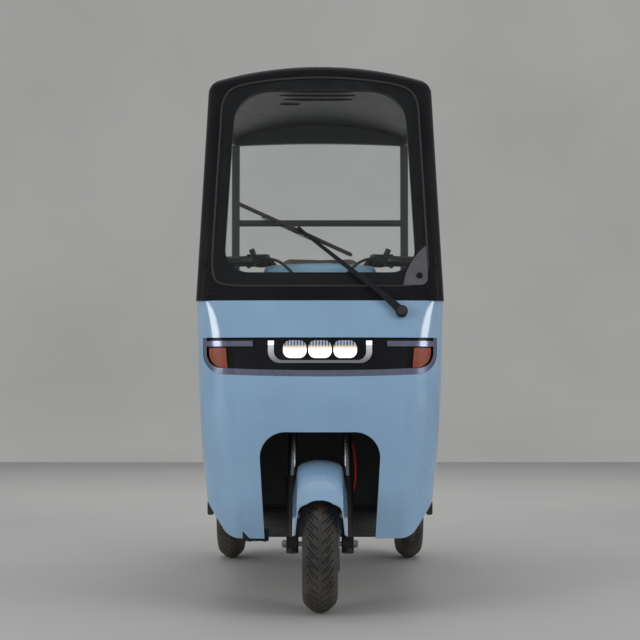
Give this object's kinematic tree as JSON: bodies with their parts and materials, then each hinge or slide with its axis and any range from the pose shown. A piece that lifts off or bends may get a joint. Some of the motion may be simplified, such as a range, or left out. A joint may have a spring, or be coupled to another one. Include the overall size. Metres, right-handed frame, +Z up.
{
  "type": "electric tricycle",
  "caption": "Covered electric tricycle with a steered front wheel, windscreen and roof, a driver's seat, a rear bench and a wiper.",
  "frame": {"origin": "on the floor, under the middle of the tricycle's length and width", "axes": "+X to the right seen from the front, +Y towards the tail (the nose points to -Y), +Z up"},
  "size_m": [0.784, 1.8608, 1.6889],
  "materials": {
    "body_paint": "high gloss light blue paint",
    "black_paint": "satin black powder coat",
    "black_gloss": "gloss black moulding",
    "black_plastic": "grained black moulding",
    "grey_plastic": "satin grey moulding",
    "screen_glass": "lightly green safety glass",
    "lamp_lens": "clear lamp lens",
    "light_guide": "bright silver and lit guide",
    "amber_lens": "amber lens",
    "red_lens": "red lens",
    "seat_leather": "brown leathercloth",
    "tyre_rubber": "tyre rubber",
    "soft_rubber": "black rubber",
    "cast_alloy": "painted cast alloy",
    "bright_steel": "bright steel",
    "chrome_tube": "hard chrome",
    "hose_red": "red hose cover",
    "display_glass": "dark display window"
  },
  "bodies": {
    "chassis": {"front_cowl": "body_paint", "lamp_housing": "black_gloss", "light_guides": "light_guide", "headlamp_lenses": "lamp_lens", "indicators": "amber_lens", "windscreen_frame": "black_gloss", "windscreen_glass": "screen_glass", "corner_plate": "grey_plastic", "roof_panel": "black_gloss", "rear_posts": "black_paint", "rear_crossbars": "black_paint", "wheel_arch_liner": "black_plastic", "dash_shelf": "black_plastic", "leg_shield": "black_plastic", "frame_rails": "black_paint", "frame_crossmembers": "black_paint", "steering_head": "black_paint", "floor_pan": "black_plastic", "side_sills": "black_plastic", "foot_brake": "black_paint", "seat_base": "body_paint", "battery_pack": "black_plastic", "driver_seat_cushion": "seat_leather", "driver_backrest": "seat_leather", "backrest_bracket": "black_paint", "rear_body": "body_paint", "rear_seat_cushion": "seat_leather", "rear_backrest": "seat_leather", "rear_bumper": "black_plastic", "tail_lamps": "red_lens", "rear_axle": "black_paint", "drive_motor": "cast_alloy", "leaf_springs": "black_paint", "wiper_pivot": "black_plastic"},
    "steering": {"fork_lowers": "black_paint", "fork_stanchions": "chrome_tube", "steering_yokes": "black_paint", "front_axle": "bright_steel", "mudguard": "body_paint", "handlebar": "black_paint", "handle_grips": "soft_rubber", "brake_levers": "black_plastic", "handlebar_cowl": "body_paint", "display": "display_glass", "brake_caliper": "cast_alloy", "control_cables": "soft_rubber", "brake_hose": "hose_red"},
    "front_wheel": {"front_tyre": "tyre_rubber", "front_rim": "cast_alloy", "brake_disc": "bright_steel"},
    "rear_wheel_left": {"rear_tyre_left": "tyre_rubber", "rear_rim_left": "cast_alloy"},
    "rear_wheel_right": {"rear_tyre_right": "tyre_rubber", "rear_rim_right": "cast_alloy"},
    "wiper": {"wiper_arm": "black_paint", "wiper_blade": "soft_rubber"}
  },
  "joints": [
    {"name": "steering", "type": "hinge", "parent": "chassis", "child": "steering", "pos_m": [0, -0.71068, 0.19482], "axis": [0, 0.2588, 0.9659], "range_deg": [-35, 35]},
    {"name": "front_wheel_spin", "type": "hinge", "parent": "steering", "child": "front_wheel", "pos_m": [0, -0.73, 0.2], "axis": [1, 0, 0], "continuous": true},
    {"name": "rear_wheel_left_spin", "type": "hinge", "parent": "chassis", "child": "rear_wheel_left", "pos_m": [-0.335, 0.62, 0.2], "axis": [1, 0, 0], "continuous": true},
    {"name": "rear_wheel_right_spin", "type": "hinge", "parent": "chassis", "child": "rear_wheel_right", "pos_m": [0.335, 0.62, 0.2], "axis": [1, 0, 0], "continuous": true},
    {"name": "wiper_sweep", "type": "hinge", "parent": "chassis", "child": "wiper", "pos_m": [0.238, -0.77635, 0.87663], "axis": [0, -0.9703, 0.2419], "range_deg": [-55, 5]}
  ]
}
